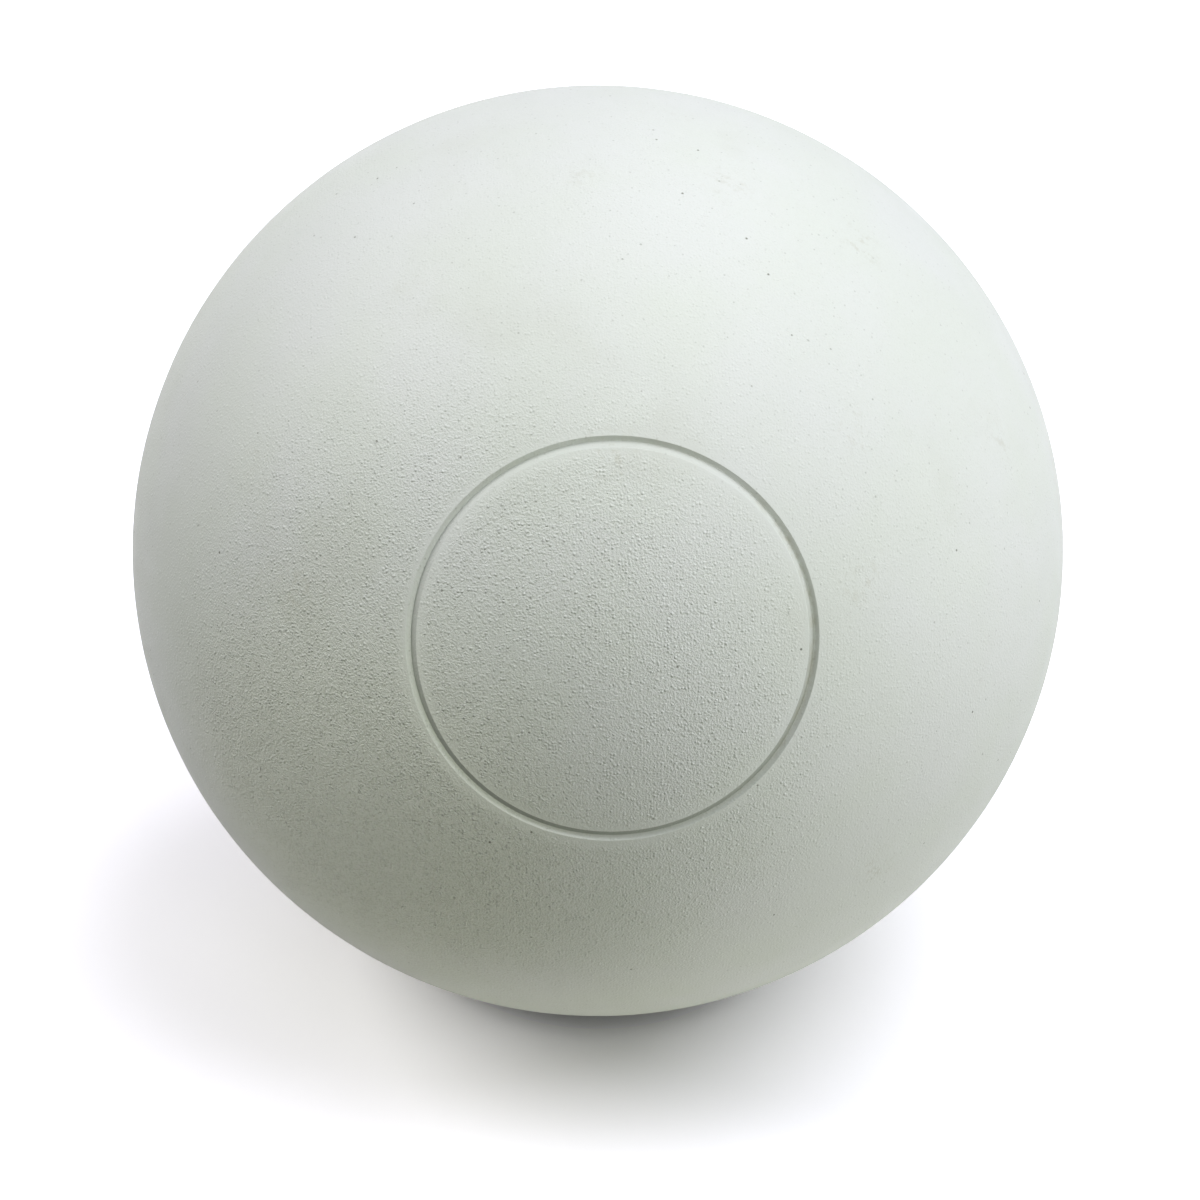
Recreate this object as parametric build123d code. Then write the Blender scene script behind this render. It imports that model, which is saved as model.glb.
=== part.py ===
from build123d import *
import os
from math import acos, asin, degrees

# Lacrosse ball: a moulded rubber core inside a cover of two half shells, bonded to the core and to
# each other at the parting plane of the mould.
# Millimetres, +Z up, origin at the centre of the ball. The mould axis lies in the YZ plane, and the
# parting plane is square to it. The front half has a plain ring groove round its pole, which faces
# -Y and is tipped up, as the ball lies. The rear half is plain.

# Driving dimensions
ball_diameter = 63.5  # the rules of the game allow 62.7 to 64.7
cover_thickness = 6.0  # wall of each cover half, from the core to the outside
ring_diameter = 25.0  # straight across, from groove bottom to groove bottom
ring_width = 0.7  # mouth of the ring groove, along the surface
ring_depth = 0.35  # straight in, along the mould axis
seam_width = 0.3  # mouth of the parting line, both halves together
seam_depth = 0.1
ring_tilt = 20.0  # degrees that the ring's pole faces up from the horizontal

# Sizes that follow from them
ball_radius = ball_diameter / 2
core_radius = ball_radius - cover_thickness

# Angles in a half's wall, in degrees from the parting plane up to the pole
pole_angle = 90
seam_angle = degrees(asin(seam_width / 2 / ball_radius))
ring_angle = degrees(acos(ring_diameter / 2 / ball_radius))
ring_half_angle = degrees(ring_width / 2 / ball_radius)


def outer_arc(start_angle, end_angle):
    """A stretch of the ball's outside, in the XY plane."""
    return CenterArc((0, 0), ball_radius, start_angle, end_angle - start_angle)


def plain_outside():
    """The outer edge of a plain half, from the seam to the pole."""
    return [outer_arc(seam_angle, pole_angle)]


def ringed_outside():
    """The same edge with the V of the ring groove cut into it along the mould axis."""
    below_ring = outer_arc(seam_angle, ring_angle - ring_half_angle)
    above_ring = outer_arc(ring_angle + ring_half_angle, pole_angle)
    mouth_middle = Vector(ball_radius, 0).rotate(Axis.Z, ring_angle)
    groove_bottom = mouth_middle - Vector(0, ring_depth)
    lower_wall = Line(below_ring @ 1, groove_bottom)
    upper_wall = Line(groove_bottom, above_ring @ 0)
    return [below_ring, lower_wall, upper_wall, above_ring]


def cover_half(outside):
    """A half shell with its pole on +Y, turned from the outline of its wall."""
    seam_root = Vector(ball_radius - seam_depth, 0)
    parting_face = Line((core_radius, 0), seam_root)
    seam_wall = Line(seam_root, outside[0] @ 0)
    mould_axis = Line(outside[-1] @ 1, (0, core_radius))
    inside = CenterArc((0, 0), core_radius, 0, pole_angle)
    wall = make_face([parting_face, seam_wall, *outside, mould_axis, inside])
    return revolve(wall, Axis.Y)


lie = Rot(X=-ring_tilt)
nodes = {
    "core": Sphere(core_radius),
    "front_cover_half": lie * Rot(Z=180) * cover_half(ringed_outside()),
    "rear_cover_half": lie * cover_half(plain_outside()),
}

os.makedirs("parts", exist_ok=True)
for name, piece in nodes.items():
    piece.label = name
    export_step(piece, f"parts/{name}.step")
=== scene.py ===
from math import asin, cos, pi, radians, sin, sqrt

import bpy
import numpy as np
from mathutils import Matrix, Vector


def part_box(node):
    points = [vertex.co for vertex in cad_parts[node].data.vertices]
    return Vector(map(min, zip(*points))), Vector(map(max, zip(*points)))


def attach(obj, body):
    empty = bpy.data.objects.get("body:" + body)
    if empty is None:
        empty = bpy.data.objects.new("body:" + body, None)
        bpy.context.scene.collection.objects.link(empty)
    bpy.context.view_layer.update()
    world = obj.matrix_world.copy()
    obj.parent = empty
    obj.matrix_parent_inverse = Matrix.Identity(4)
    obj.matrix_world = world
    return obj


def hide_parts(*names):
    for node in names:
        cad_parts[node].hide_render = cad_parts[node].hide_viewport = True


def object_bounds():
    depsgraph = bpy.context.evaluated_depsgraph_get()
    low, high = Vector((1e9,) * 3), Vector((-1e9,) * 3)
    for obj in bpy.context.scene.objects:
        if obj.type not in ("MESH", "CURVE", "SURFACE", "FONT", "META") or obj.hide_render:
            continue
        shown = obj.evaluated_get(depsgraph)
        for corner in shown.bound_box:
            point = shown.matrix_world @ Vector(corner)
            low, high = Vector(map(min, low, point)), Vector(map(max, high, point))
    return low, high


# A lacrosse ball of moulded rubber on a white studio floor. Metres, in the frame of the solids: +Z
# up, origin at the centre of the ball. Lengths in the materials of the ball are in millimetres.

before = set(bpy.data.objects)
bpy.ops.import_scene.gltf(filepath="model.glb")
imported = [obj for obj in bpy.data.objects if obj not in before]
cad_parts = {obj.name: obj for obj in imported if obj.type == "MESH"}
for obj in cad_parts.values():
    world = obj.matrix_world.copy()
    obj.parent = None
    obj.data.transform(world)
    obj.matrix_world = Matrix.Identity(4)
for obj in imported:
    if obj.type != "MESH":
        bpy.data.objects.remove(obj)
cad_low, cad_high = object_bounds()

MM = 0.001

# Sizes of the ball, from the frame
BALL_RADIUS = (cad_high.z - cad_low.z) / 2
core_low, core_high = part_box("core")
CORE_RADIUS = (core_high.z - core_low.z) / 2

# Sizes of the moulded details
RING_TILT = radians(20)  # how far the ring's pole is tipped up
RING_RADIUS = 12.5 * MM
RING_WIDTH = 0.7 * MM
RING_DEPTH = 0.35 * MM  # straight in, along the mould axis
RING_BOTTOM_ROUNDING = 0.12  # these two as shares of the depth
RING_LIP_ROUNDING = 0.05
SEAM_WIDTH = 0.3 * MM
SEAM_DEPTH = 0.1 * MM
CORE_CLEARANCE = 0.03 * MM  # keeps the flat facets of the cover's inside off the core

RING_ANGLE = asin(RING_RADIUS / BALL_RADIUS)  # from the pole
RING_BOTTOM = RING_DEPTH * cos(RING_ANGLE)  # how far the groove's bottom lies below the surface
RING_LEAN = RING_DEPTH * sin(RING_ANGLE)  # how far it lies off the middle, away from the pole
SEAM_ANGLE = SEAM_WIDTH / 2 / BALL_RADIUS  # from the parting plane

# Spacing of the points
OUTSIDE_STEP = 0.4 * MM
INSIDE_STEP = 2.0 * MM
FINE_BAND = 0.6 * MM  # half the width of the band of close rows over the groove
FINE_STEP = 0.04 * MM
SHARP_ANGLE = radians(35)  # edges that turn more than this stay sharp

# Slow unevenness of the moulded surface
WAVE_SEED = 7
WAVE_COUNT = 40
WAVE_LENGTHS = (3 * MM, 9 * MM)
WAVE_DEPTH = 0.012 * MM
WAVE_MIDDLE = 0.5  # these three as shares of the depth
WAVE_SWING = 1 / 3
WAVE_ROUNDING = 0.1

# Stipple of the cover: lumps and grains, crispest round one spot and duller away from it
LUMP_SPACING = 0.21
LUMP_RADIUS = 0.6 * LUMP_SPACING
LUMP_RARITY = 2.5
LUMP_HEIGHT = 0.07
GRAIN_SIZE = 0.13
GRAIN_HEIGHT = 0.085
CRISP_SPOT = (-10.0, -29.0, 3.0)
CRISP_REACH = (15.0, 27.0)
DULL_SHARE = 0.28  # share of the height that is left away from the spot
CALM_BAND = (0.35, 1.3)  # distances from the groove's middle over which the stipple comes back
CALM_SHARE = 0.3  # share of the height that is left at the groove

# A patch low on the left: painted light that makes it paler, a yellower tone, higher stipple, and more
# dirt and painted shade in the hollows
LOW_LEFT_SPOT = (-16.5, -26.5, -3.5)
LOW_LEFT_REACH = (8.0, 19.0)
LOW_LEFT_GRAIN = 1.9  # how many times as high the stipple is there
LOW_LEFT_DIRT_AND_SHADE = 0.4  # share of dirt and painted shade in the hollows there
THIN_DIRT_AND_SHADE = 0.22  # and elsewhere

# Spots and marks on the cover. A span is where a noise goes from no mark to the full mark.
CLOUD_SPAN = (0.3, 0.7)  # where most of a cloudy noise lies
TONE_SIZE = 9.0
SHEEN_SIZE = 3.0
SMUDGE_SIZE = 14.0
SMUDGE_SPAN = (0.56, 0.75)
SMUDGE_SHARE = 0.16
HOLLOW_SPAN = (0.55, 0.3)  # of the grains, from their middle height down to the hollows
PINHOLE_SPACING = 1.3
PINHOLE_RADIUS = 0.12
PINHOLE_RARITY = 3.5
PINHOLE_DEPTH = 0.05
SPECK_SPACING = 0.5
SPECK_RADIUS = 0.1
SPECK_RARITY = 1.5
SPECK_SHARE = 0.3
SCUFF_SPACING = 9.0
SCUFF_RADIUS = 2.8
SCUFF_RARITY = 2.0
SCUFF_GRAIN = 0.7
SCUFF_SPAN = (0.5, 0.7)
SCUFF_SHARE = 0.35
SPOT_HEART = 0.2  # share of a spot's radius that has its full strength

# Painted shade and dirt in the ring groove, by the distance from the groove's middle: below 0 is towards
# the pole
GROOVE_SHADE_TOP = (-0.37, -0.31)
GROOVE_SHADE_BOTTOM = (RING_LEAN / MM + 0.02, RING_LEAN / MM - 0.04)  # just past the groove's bottom, just short
GROOVE_SHADE_HEIGHTS = (2.0, 18.0)  # above the ball's centre, where the painted shade is thick and where it is thin
GROOVE_SHADE_SHARES = (0.95, 0.3)
GRIME_EDGE = (0.38, 0.12)
GRIME_SIDE = (5.0, 13.0)  # to the right of the ball's centre, where it starts and where it is thick
GRIME_SIZE = 0.8
GRIME_SPAN = (0.35, 0.7)
GRIME_SHARE = 0.4

# Colours and finish of the cover
COVER_PALE = (0.72, 0.745, 0.73)
COVER_DEEP = (0.705, 0.74, 0.70)
# painted light: a paler and yellower colour for the patch low on the left
COVER_PAINTED_LIGHT = (0.80, 0.835, 0.765)
SMUDGE = (0.50, 0.51, 0.42)
# dirt and painted shade in the stipple's hollows
DIRT_AND_SHADE = (0.42, 0.46, 0.34)
SCUFF = (0.42, 0.40, 0.30)
PINHOLE = (0.13, 0.135, 0.10)
# painted shade on the inner wall of the ring groove
GROOVE_PAINTED_SHADE = (0.36, 0.385, 0.345)
GRIME = (0.36, 0.34, 0.24)
COVER_ROUGHNESS = (0.58, 0.68)
COVER_SPECULAR = 0.2

# Colours and finish of the core
CORE_PALE = (0.36, 0.34, 0.30)
CORE_DEEP = (0.24, 0.22, 0.19)
CORE_ROUGHNESS = (0.72, 0.85)
FLECK_SIZE = 0.9
FLECK_SPAN = (0.35, 0.65)
CORE_GRAIN_SIZE = 0.5
CORE_GRAIN_HEIGHT = 0.04

# Framing of the photograph
PHOTO_SIZE = 1200  # pixels
BALL_PIXEL_RADIUS = 465.5
BALL_PIXEL_CENTRE = (597.9, 550.6)
SENSOR = 36.0  # millimetres of film, as Blender counts it
CAMERA_DISTANCE = 9.2  # in ball radii
CAMERA_AZIMUTH = radians(-1.93)
CAMERA_ELEVATION = radians(31.0)

# Floor and backdrop
FLOOR_SIZE = 8.0
# The floor in the picture: past white where nothing shades it, tinted so that the shadow is grey,
# and with a painted shadow, darker close round the place where the ball lies
FLOOR_SEEN = (1.37, 1.35, 1.43)
FLOOR_PAINTED_SHADOW = (0.55, 0.54, 0.58)
FLOOR_PAINTED_SHADOW_EDGE = (0.31 * BALL_RADIUS, 0.45 * BALL_RADIUS)
# Light that the floor throws back on the ball: most from a belt round the place where it lies
FLOOR_BOUNCE_NEAR = (0.645, 0.63, 0.555)
FLOOR_BOUNCE_FAR = (0.10, 0.10, 0.08)
FLOOR_BELT_START = (0.4 * BALL_RADIUS, 0.7 * BALL_RADIUS)
FLOOR_BELT_END = (0.9 * BALL_RADIUS, 2.1 * BALL_RADIUS)
BACKDROP = (1.0, 1.0, 1.0)

# Lamps: azimuth from the front towards the right, elevation and angular size, all in degrees, then
# strength and colour. A lamp of strength 1 lights a white surface that faces it up to white.
LAMPS = {
    "left_softbox": (261, 41, 38, 0.55, (1.0, 0.99, 0.96)),
    "right_softbox": (85, 61, 55, 0.58, (0.96, 0.97, 1.0)),
    "right_low_panel": (85, 5, 20, 0.45, (0.95, 0.95, 1.0)),
    "front_panel": (27, 16, 32, 0.275, (0.97, 1.0, 0.85)),
    "back_softbox": (180, 82, 58, 0.21, (0.90, 0.90, 1.0)),
}


def direction(azimuth, elevation):
    """A unit vector; azimuth 0 is -Y, 90 degrees is +X."""
    return Vector((sin(azimuth) * cos(elevation), -cos(azimuth) * cos(elevation), sin(elevation)))


def soft_ramp(values, softness):
    """The values where they are above 0 and 0 elsewhere, with a rounded corner."""
    return (values + np.sqrt(values**2 + softness**2)) / 2


def ring_offset(angles):
    """Distance along the surface from the middle of the ring groove, outwards."""
    return BALL_RADIUS * (angles - RING_ANGLE)


def groove_depth(angles):
    """Depth of the ring groove at angles from the pole: a V with a rounded bottom and lips."""
    offsets = ring_offset(angles)
    inner_wall = (RING_WIDTH / 2 + offsets) / (RING_WIDTH / 2 + RING_LEAN)
    outer_wall = (RING_WIDTH / 2 - offsets) / (RING_WIDTH / 2 - RING_LEAN)
    higher = inner_wall - soft_ramp(inner_wall - outer_wall, RING_BOTTOM_ROUNDING)
    return RING_BOTTOM * soft_ramp(higher, RING_LIP_ROUNDING)


def unevenness(directions):
    """How far the surface lies inside the true sphere, from seeded slow waves."""
    draw = np.random.default_rng(WAVE_SEED)
    axes = draw.normal(size=(WAVE_COUNT, 3))
    axes /= np.linalg.norm(axes, axis=1, keepdims=True)
    turns = 2 * pi * BALL_RADIUS / draw.uniform(*WAVE_LENGTHS, WAVE_COUNT)
    phases = draw.uniform(0, 2 * pi, WAVE_COUNT)
    waves = np.sin(directions @ (axes * turns[:, None]).T + phases)
    together = waves.sum(axis=1) / sqrt(WAVE_COUNT)
    return WAVE_DEPTH * soft_ramp(WAVE_MIDDLE + WAVE_SWING * together, WAVE_ROUNDING)


def outside_angles(ringed):
    """Angles from the pole of the rows of points on the outside, down to the seam."""
    lip = pi / 2 - SEAM_ANGLE
    step = OUTSIDE_STEP / BALL_RADIUS
    angles = np.linspace(0, lip, round(lip / step) + 1)
    if not ringed:
        return angles
    band = FINE_BAND / BALL_RADIUS
    rows = round(2 * FINE_BAND / FINE_STEP) + 1
    fine = np.linspace(RING_ANGLE - band, RING_ANGLE + band, rows)
    coarse = angles[np.abs(angles - RING_ANGLE) > band + step / 2]
    return np.sort(np.concatenate([coarse, fine]))


def wall_rows(ringed):
    """The rows of a half shell, from its outer pole round the seam to its inner pole.

    Each row is an angle from the pole, a radius, the spacing of its points and whether it is on
    the outside.
    """
    rows = []
    for angle in outside_angles(ringed):
        depth = groove_depth(angle) if ringed else 0.0
        rows.append((angle, BALL_RADIUS - depth, OUTSIDE_STEP, True))
    rows.append((pi / 2, BALL_RADIUS - SEAM_DEPTH, OUTSIDE_STEP, False))
    inner_radius = CORE_RADIUS + CORE_CLEARANCE
    inner_angles = np.linspace(pi / 2, 0, round(pi / 2 * inner_radius / INSIDE_STEP) + 1)
    rows += [(angle, inner_radius, INSIDE_STEP, False) for angle in inner_angles]
    return rows


def row_points(angle, radius, step, outside, axes):
    """The points of one row, with the slow unevenness where they are on the outside."""
    number = max(1, round(2 * pi * radius * sin(angle) / step))
    turn = 2 * pi * np.arange(number) / number
    across = sin(angle) * np.cos(turn), sin(angle) * np.sin(turn)
    ways = np.stack([*across, np.full(number, cos(angle))], axis=1) @ axes
    lengths = radius - (unevenness(ways) if outside else np.zeros(number))
    return ways * lengths[:, None]


def stitch(first, second):
    """Triangles between two closed rows of point numbers that run the same way round."""
    middles = np.concatenate([(np.arange(len(row)) + 0.5) / len(row) for row in (first, second)])
    order = np.argsort(middles, kind="stable")
    along_first = order < len(first)
    i = np.cumsum(along_first) - along_first
    j = np.cumsum(~along_first) - ~along_first
    start = first[i % len(first)]
    other = second[j % len(second)]
    ahead = np.where(along_first, first[(i + 1) % len(first)], second[(j + 1) % len(second)])
    triangles = np.stack([start, other, ahead], axis=1)
    return triangles[(start != ahead) & (other != ahead)]


def half_shell(name, pole, ringed):
    """A closed half of the cover, turned about its pole."""
    right = Vector((1, 0, 0))
    axes = np.array([right, pole.cross(right), pole])
    points = []
    offsets = []
    rows = []
    count = 0
    for angle, radius, step, outside in wall_rows(ringed):
        row = row_points(angle, radius, step, outside, axes)
        offset = ring_offset(angle) if ringed else BALL_RADIUS
        points.append(row)
        offsets.append(np.full(len(row), offset / MM))
        rows.append(np.arange(count, count + len(row)))
        count += len(row)
    triangles = [stitch(first, second) for first, second in zip(rows, rows[1:])]
    mesh = bpy.data.meshes.new(name)
    mesh.from_pydata(np.concatenate(points), [], np.concatenate(triangles).tolist())
    attribute = mesh.attributes.new("ring_offset", "FLOAT", "POINT")
    attribute.data.foreach_set("value", np.concatenate(offsets).astype(np.float32))
    mesh.shade_smooth()
    mesh.set_sharp_from_angle(angle=SHARP_ANGLE)
    piece = bpy.data.objects.new(name, mesh)
    bpy.context.scene.collection.objects.link(piece)
    return piece


class Nodes:
    """Adds nodes to one node tree, with numbers set and sockets linked as they are made."""

    def __init__(self, tree):
        self.tree = tree

    def add(self, kind, inputs=None, **settings):
        node = self.tree.nodes.new(kind)
        for key, value in settings.items():
            setattr(node, key, value)
        for key, value in (inputs or {}).items():
            self.set(node.inputs[key], value)
        return node

    def set(self, socket, value):
        if isinstance(value, bpy.types.NodeSocket):
            self.tree.links.new(value, socket)
        elif socket.type == "RGBA":
            socket.default_value = (*value, 1.0)
        else:
            socket.default_value = value

    def place_in_mm(self):
        """The point on the object in millimetres."""
        place = self.add("ShaderNodeTexCoord").outputs["Object"]
        scaled = self.add("ShaderNodeVectorMath", {0: place, "Scale": 1 / MM}, operation="SCALE")
        return scaled.outputs["Vector"]

    def noise(self, place, size, detail=2.0, roughness=0.5):
        """Cloudy noise from 0 to 1 with lumps of about that size in millimetres."""
        settings = {"Vector": place, "Scale": 1 / size, "Detail": detail, "Roughness": roughness}
        return self.add("ShaderNodeTexNoise", settings).outputs["Fac"]

    def math(self, operation, a, b=0.0, clamp=False):
        node = self.add("ShaderNodeMath", {0: a, 1: b}, operation=operation, use_clamp=clamp)
        return node.outputs["Value"]

    def ramp(self, value, start, end, low=0.0, high=1.0):
        """Goes smoothly from low to high as the value goes from start to end."""
        limits = {"Value": value, "From Min": start, "From Max": end, "To Min": low, "To Max": high}
        node = self.add("ShaderNodeMapRange", limits, interpolation_type="SMOOTHSTEP")
        return node.outputs["Result"]

    def mix(self, share, first, second):
        """First colour where share is 0, second where it is 1."""
        node = self.add("ShaderNodeMix", data_type="RGBA")
        self.set(node.inputs[0], share)
        self.set(node.inputs[6], first)
        self.set(node.inputs[7], second)
        return node.outputs[2]

    def bump(self, height):
        """A normal for relief of that height in millimetres."""
        node = self.add("ShaderNodeBump", {"Height": height, "Distance": MM, "Strength": 1.0})
        return node.outputs["Normal"]


def new_material(name):
    """A material, its nodes and its shader."""
    material = bpy.data.materials.new(name)
    material.use_nodes = True
    return material, Nodes(material.node_tree), material.node_tree.nodes["Principled BSDF"]


def spots(nodes, place, spacing, radius, rarity):
    """Round spots of uneven strength: up to 1 in the middle of the strongest, 0 between them."""
    cells = nodes.add("ShaderNodeTexVoronoi", {"Vector": place, "Scale": 1 / spacing})
    edge = radius / spacing
    inside = nodes.ramp(cells.outputs["Distance"], edge, SPOT_HEART * edge)
    chance = nodes.add("ShaderNodeSeparateColor", {0: cells.outputs["Color"]}).outputs["Red"]
    return nodes.math("MULTIPLY", inside, nodes.math("POWER", chance, rarity))


def nearness(nodes, place, spot, reach, near, away):
    """One value near a spot on the ball, going over to another at the end of its reach."""
    apart = nodes.add("ShaderNodeVectorMath", {0: place, 1: spot}, operation="DISTANCE")
    return nodes.ramp(apart.outputs["Value"], *reach, near, away)


def groove_shade(nodes, height, offset):
    """Share of painted shade on the inner wall of the ring groove, thickest low down."""
    from_lip = nodes.ramp(offset, *GROOVE_SHADE_TOP)
    to_bottom = nodes.ramp(offset, *GROOVE_SHADE_BOTTOM)
    thick = nodes.ramp(height, *GROOVE_SHADE_HEIGHTS, *GROOVE_SHADE_SHARES)
    return nodes.math("MULTIPLY", nodes.math("MULTIPLY", from_lip, to_bottom), thick)


def grime(nodes, place, sideways, offset):
    """Share of grime, in patches on both walls of the ring groove at its right."""
    in_groove = nodes.ramp(nodes.math("ABSOLUTE", offset), *GRIME_EDGE)
    right_side = nodes.ramp(sideways, *GRIME_SIDE)
    cloud = nodes.noise(place, GRIME_SIZE, detail=3.0, roughness=0.7)
    patchy = nodes.ramp(cloud, *GRIME_SPAN, 0.0, GRIME_SHARE)
    return nodes.math("MULTIPLY", nodes.math("MULTIPLY", in_groove, right_side), patchy)


def scuffs(nodes, place):
    """Share of faint brown rub marks, a few millimetres long and broken up."""
    marks = spots(nodes, place, SCUFF_SPACING, SCUFF_RADIUS, SCUFF_RARITY)
    cloud = nodes.noise(place, SCUFF_GRAIN, detail=3.0, roughness=0.7)
    broken = nodes.ramp(cloud, *SCUFF_SPAN, 0.0, SCUFF_SHARE)
    return nodes.math("MULTIPLY", marks, broken)


def smudges(nodes, place):
    """Share of wide, faint smudges."""
    cloud = nodes.noise(place, SMUDGE_SIZE, detail=4.0, roughness=0.6)
    return nodes.ramp(cloud, *SMUDGE_SPAN, 0.0, SMUDGE_SHARE)


def hollow_dirt_and_shade(nodes, place, grains, crisp):
    """Share of dirt and painted shade in the hollows between the grains."""
    in_hollows = nodes.math("MULTIPLY", nodes.ramp(grains, *HOLLOW_SPAN), crisp)
    thick = nearness(nodes, place, LOW_LEFT_SPOT, LOW_LEFT_REACH, LOW_LEFT_DIRT_AND_SHADE, THIN_DIRT_AND_SHADE)
    return nodes.math("MULTIPLY", in_hollows, thick)


def crispness(nodes, place, offset):
    """1 where the stipple is crispest, less away from there and beside the ring groove."""
    near_spot = nearness(nodes, place, CRISP_SPOT, CRISP_REACH, 1.0, DULL_SHARE)
    calm = nodes.ramp(nodes.math("ABSOLUTE", offset), *CALM_BAND, CALM_SHARE, 1.0)
    return nodes.math("MULTIPLY", near_spot, calm)


def cover_colour(nodes, place, offset, grains, crisp, pinholes):
    """The cover's colour: patches of tone, painted light on a patch low on the left, and dirt, painted
    shade and marks over them.
    """
    across = nodes.add("ShaderNodeSeparateXYZ", {0: place}).outputs
    tone = nodes.ramp(nodes.noise(place, TONE_SIZE, detail=3.0), *CLOUD_SPAN)
    painted_light = nearness(nodes, place, LOW_LEFT_SPOT, LOW_LEFT_REACH, 1.0, 0.0)
    specks = spots(nodes, place, SPECK_SPACING, SPECK_RADIUS, SPECK_RARITY)
    specks = nodes.math("MULTIPLY", specks, SPECK_SHARE)
    colour = nodes.mix(tone, COVER_DEEP, COVER_PALE)
    # painted light: the patch low on the left, paler and yellower
    colour = nodes.mix(painted_light, colour, COVER_PAINTED_LIGHT)
    colour = nodes.mix(smudges(nodes, place), colour, SMUDGE)
    # dirt and painted shade in the hollows between the grains
    colour = nodes.mix(hollow_dirt_and_shade(nodes, place, grains, crisp), colour, DIRT_AND_SHADE)
    colour = nodes.mix(scuffs(nodes, place), colour, SCUFF)
    # painted shade on the groove's inner wall, thickest low down
    colour = nodes.mix(groove_shade(nodes, across["Z"], offset), colour, GROOVE_PAINTED_SHADE)
    colour = nodes.mix(grime(nodes, place, across["X"], offset), colour, GRIME)
    return nodes.mix(nodes.math("MAXIMUM", pinholes, specks), colour, PINHOLE)


def cover_relief(nodes, place, grains, crisp, pinholes):
    """Height of the stipple, with the pinholes sunk into it."""
    lumps = spots(nodes, place, LUMP_SPACING, LUMP_RADIUS, LUMP_RARITY)
    lumps = nodes.math("MULTIPLY", lumps, LUMP_HEIGHT)
    stipple = nodes.math("ADD", lumps, nodes.math("MULTIPLY", grains, GRAIN_HEIGHT))
    raised = nearness(nodes, place, LOW_LEFT_SPOT, LOW_LEFT_REACH, LOW_LEFT_GRAIN, 1.0)
    stipple = nodes.math("MULTIPLY", stipple, nodes.math("MULTIPLY", crisp, raised))
    return nodes.math("SUBTRACT", stipple, nodes.math("MULTIPLY", pinholes, PINHOLE_DEPTH))


def cover_material():
    """Off-white moulded rubber: a fine stipple, pinholes, faint smudges, and dirt and painted shade in
    the groove.
    """
    material, nodes, shader = new_material("cover_rubber")
    place = nodes.place_in_mm()
    offset = nodes.add("ShaderNodeAttribute", attribute_name="ring_offset").outputs["Fac"]
    crisp = crispness(nodes, place, offset)
    grains = nodes.noise(place, GRAIN_SIZE, detail=2.0, roughness=0.6)
    pinholes = spots(nodes, place, PINHOLE_SPACING, PINHOLE_RADIUS, PINHOLE_RARITY)
    sheen = nodes.noise(place, SHEEN_SIZE, detail=3.0)
    colour = cover_colour(nodes, place, offset, grains, crisp, pinholes)
    relief = cover_relief(nodes, place, grains, crisp, pinholes)
    nodes.set(shader.inputs["Base Color"], colour)
    nodes.set(shader.inputs["Roughness"], nodes.ramp(sheen, *CLOUD_SPAN, *COVER_ROUGHNESS))
    nodes.set(shader.inputs["Specular IOR Level"], COVER_SPECULAR)
    nodes.set(shader.inputs["Normal"], nodes.bump(relief))
    return material


def core_material():
    """Dull buffed rubber of the core."""
    material, nodes, shader = new_material("core_rubber")
    place = nodes.place_in_mm()
    flecks = nodes.ramp(nodes.noise(place, FLECK_SIZE, detail=4.0, roughness=0.65), *FLECK_SPAN)
    grain = nodes.noise(place, CORE_GRAIN_SIZE, detail=3.0)
    relief = nodes.math("MULTIPLY", grain, CORE_GRAIN_HEIGHT)
    nodes.set(shader.inputs["Base Color"], nodes.mix(flecks, CORE_DEEP, CORE_PALE))
    nodes.set(shader.inputs["Roughness"], nodes.ramp(flecks, 0.0, 1.0, *CORE_ROUGHNESS))
    nodes.set(shader.inputs["Normal"], nodes.bump(relief))
    return material


def seen_directly(nodes):
    """1 for the rays that show the background: to the camera, mirrored or through glass."""
    rays = nodes.add("ShaderNodeLightPath").outputs
    mirrored = nodes.math("ADD", rays["Is Glossy Ray"], rays["Is Transmission Ray"])
    return nodes.math("ADD", rays["Is Camera Ray"], mirrored, clamp=True)


def floor_material():
    """One colour in the picture, with a painted shadow round the contact; another for the light that the
    floor throws back on the ball.
    """
    material, nodes, shader = new_material("studio_floor")
    nodes.tree.nodes.remove(shader)
    place = nodes.add("ShaderNodeTexCoord").outputs["Object"]
    distance = nodes.add("ShaderNodeVectorMath", {0: place}, operation="LENGTH").outputs["Value"]
    past_start = nodes.ramp(distance, *FLOOR_BELT_START)
    past_end = nodes.ramp(distance, *FLOOR_BELT_END)
    belt = nodes.math("SUBTRACT", past_start, past_end)
    bounce = nodes.mix(belt, FLOOR_BOUNCE_FAR, FLOOR_BOUNCE_NEAR)
    # painted shadow: the floor's colour is darker close round the contact
    off_painted_shadow = nodes.ramp(distance, *FLOOR_PAINTED_SHADOW_EDGE)
    seen = nodes.mix(off_painted_shadow, FLOOR_PAINTED_SHADOW, FLOOR_SEEN)
    colour = nodes.mix(seen_directly(nodes), bounce, seen)
    matt = nodes.add("ShaderNodeBsdfDiffuse", {"Color": colour})
    output = nodes.tree.nodes["Material Output"]
    nodes.set(output.inputs["Surface"], matt.outputs["BSDF"])
    return material


def add_floor():
    """A flat square under the lowest point of the ball."""
    half = FLOOR_SIZE / 2
    corners = [(-half, -half, 0), (half, -half, 0), (half, half, 0), (-half, half, 0)]
    mesh = bpy.data.meshes.new("floor")
    mesh.from_pydata(corners, [], [(0, 1, 2, 3)])
    mesh.materials.append(floor_material())
    floor = bpy.data.objects.new("floor", mesh)
    floor.location.z = -BALL_RADIUS
    bpy.context.scene.collection.objects.link(floor)


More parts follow.
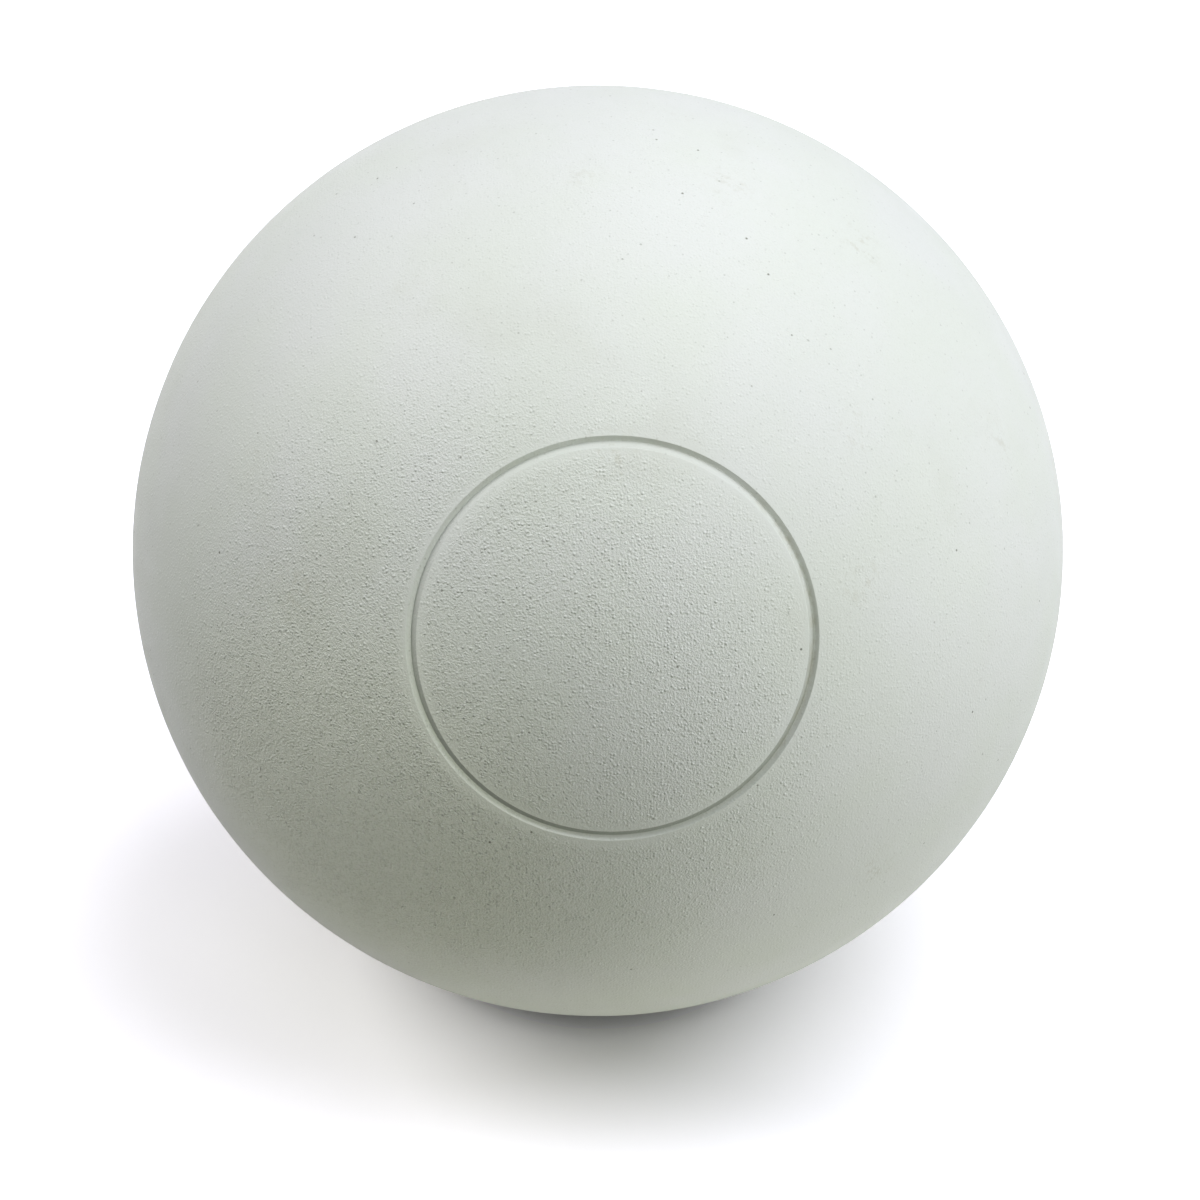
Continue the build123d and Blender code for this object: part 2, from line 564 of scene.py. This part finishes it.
def add_world():
    """A backdrop that is white in the picture and gives no light of its own."""
    world = bpy.data.worlds.new("studio")
    world.use_nodes = True
    nodes = Nodes(world.node_tree)
    background = world.node_tree.nodes["Background"]
    nodes.set(background.inputs["Color"], BACKDROP)
    nodes.set(background.inputs["Strength"], seen_directly(nodes))
    bpy.context.scene.world = world


def add_lamps():
    """Soft lamps as wide discs, far away."""
    for name, (azimuth, elevation, size, strength, colour) in LAMPS.items():
        lamp = bpy.data.lights.new(name, "SUN")
        lamp.energy = pi * strength
        lamp.angle = radians(size)
        lamp.color = colour
        holder = bpy.data.objects.new(name, lamp)
        towards = direction(radians(azimuth), radians(elevation))
        holder.rotation_mode = "QUATERNION"
        holder.rotation_quaternion = towards.to_track_quat("Z", "Y")
        bpy.context.scene.collection.objects.link(holder)


def add_camera():
    """The photograph's camera: its angle, distance, and the ball's place and size in the frame."""
    back = direction(CAMERA_AZIMUTH, CAMERA_ELEVATION)
    focal_pixels = BALL_PIXEL_RADIUS * sqrt(CAMERA_DISTANCE**2 - 1)
    camera = bpy.data.cameras.new("camera")
    camera.sensor_width = SENSOR
    camera.lens = SENSOR * focal_pixels / PHOTO_SIZE
    camera.shift_x = (PHOTO_SIZE / 2 - BALL_PIXEL_CENTRE[0]) / PHOTO_SIZE
    camera.shift_y = (BALL_PIXEL_CENTRE[1] - PHOTO_SIZE / 2) / PHOTO_SIZE
    camera.clip_start = BALL_RADIUS
    camera.clip_end = FLOOR_SIZE
    holder = bpy.data.objects.new("camera", camera)
    holder.location = back * CAMERA_DISTANCE * BALL_RADIUS
    holder.rotation_mode = "QUATERNION"
    holder.rotation_quaternion = back.to_track_quat("Z", "Y")
    bpy.context.scene.collection.objects.link(holder)
    bpy.context.scene.camera = holder


def add_cover():
    """The two halves of the cover, in place of their plain solids."""
    material = cover_material()
    front_pole = direction(0, RING_TILT)
    halves = {
        "front_cover_half": half_shell("front_cover", front_pole, ringed=True),
        "rear_cover_half": half_shell("rear_cover", -front_pole, ringed=False),
    }
    for node, piece in halves.items():
        piece.data.materials.append(material)
        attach(piece, "root")
        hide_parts(node)


def dress_core():
    """The core keeps its solid and gets its own rubber."""
    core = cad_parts["core"]
    core.data.materials.clear()
    core.data.materials.append(core_material())


bpy.context.scene.view_settings.view_transform = "Standard"
add_cover()
dress_core()
add_floor()
add_world()
add_lamps()
add_camera()
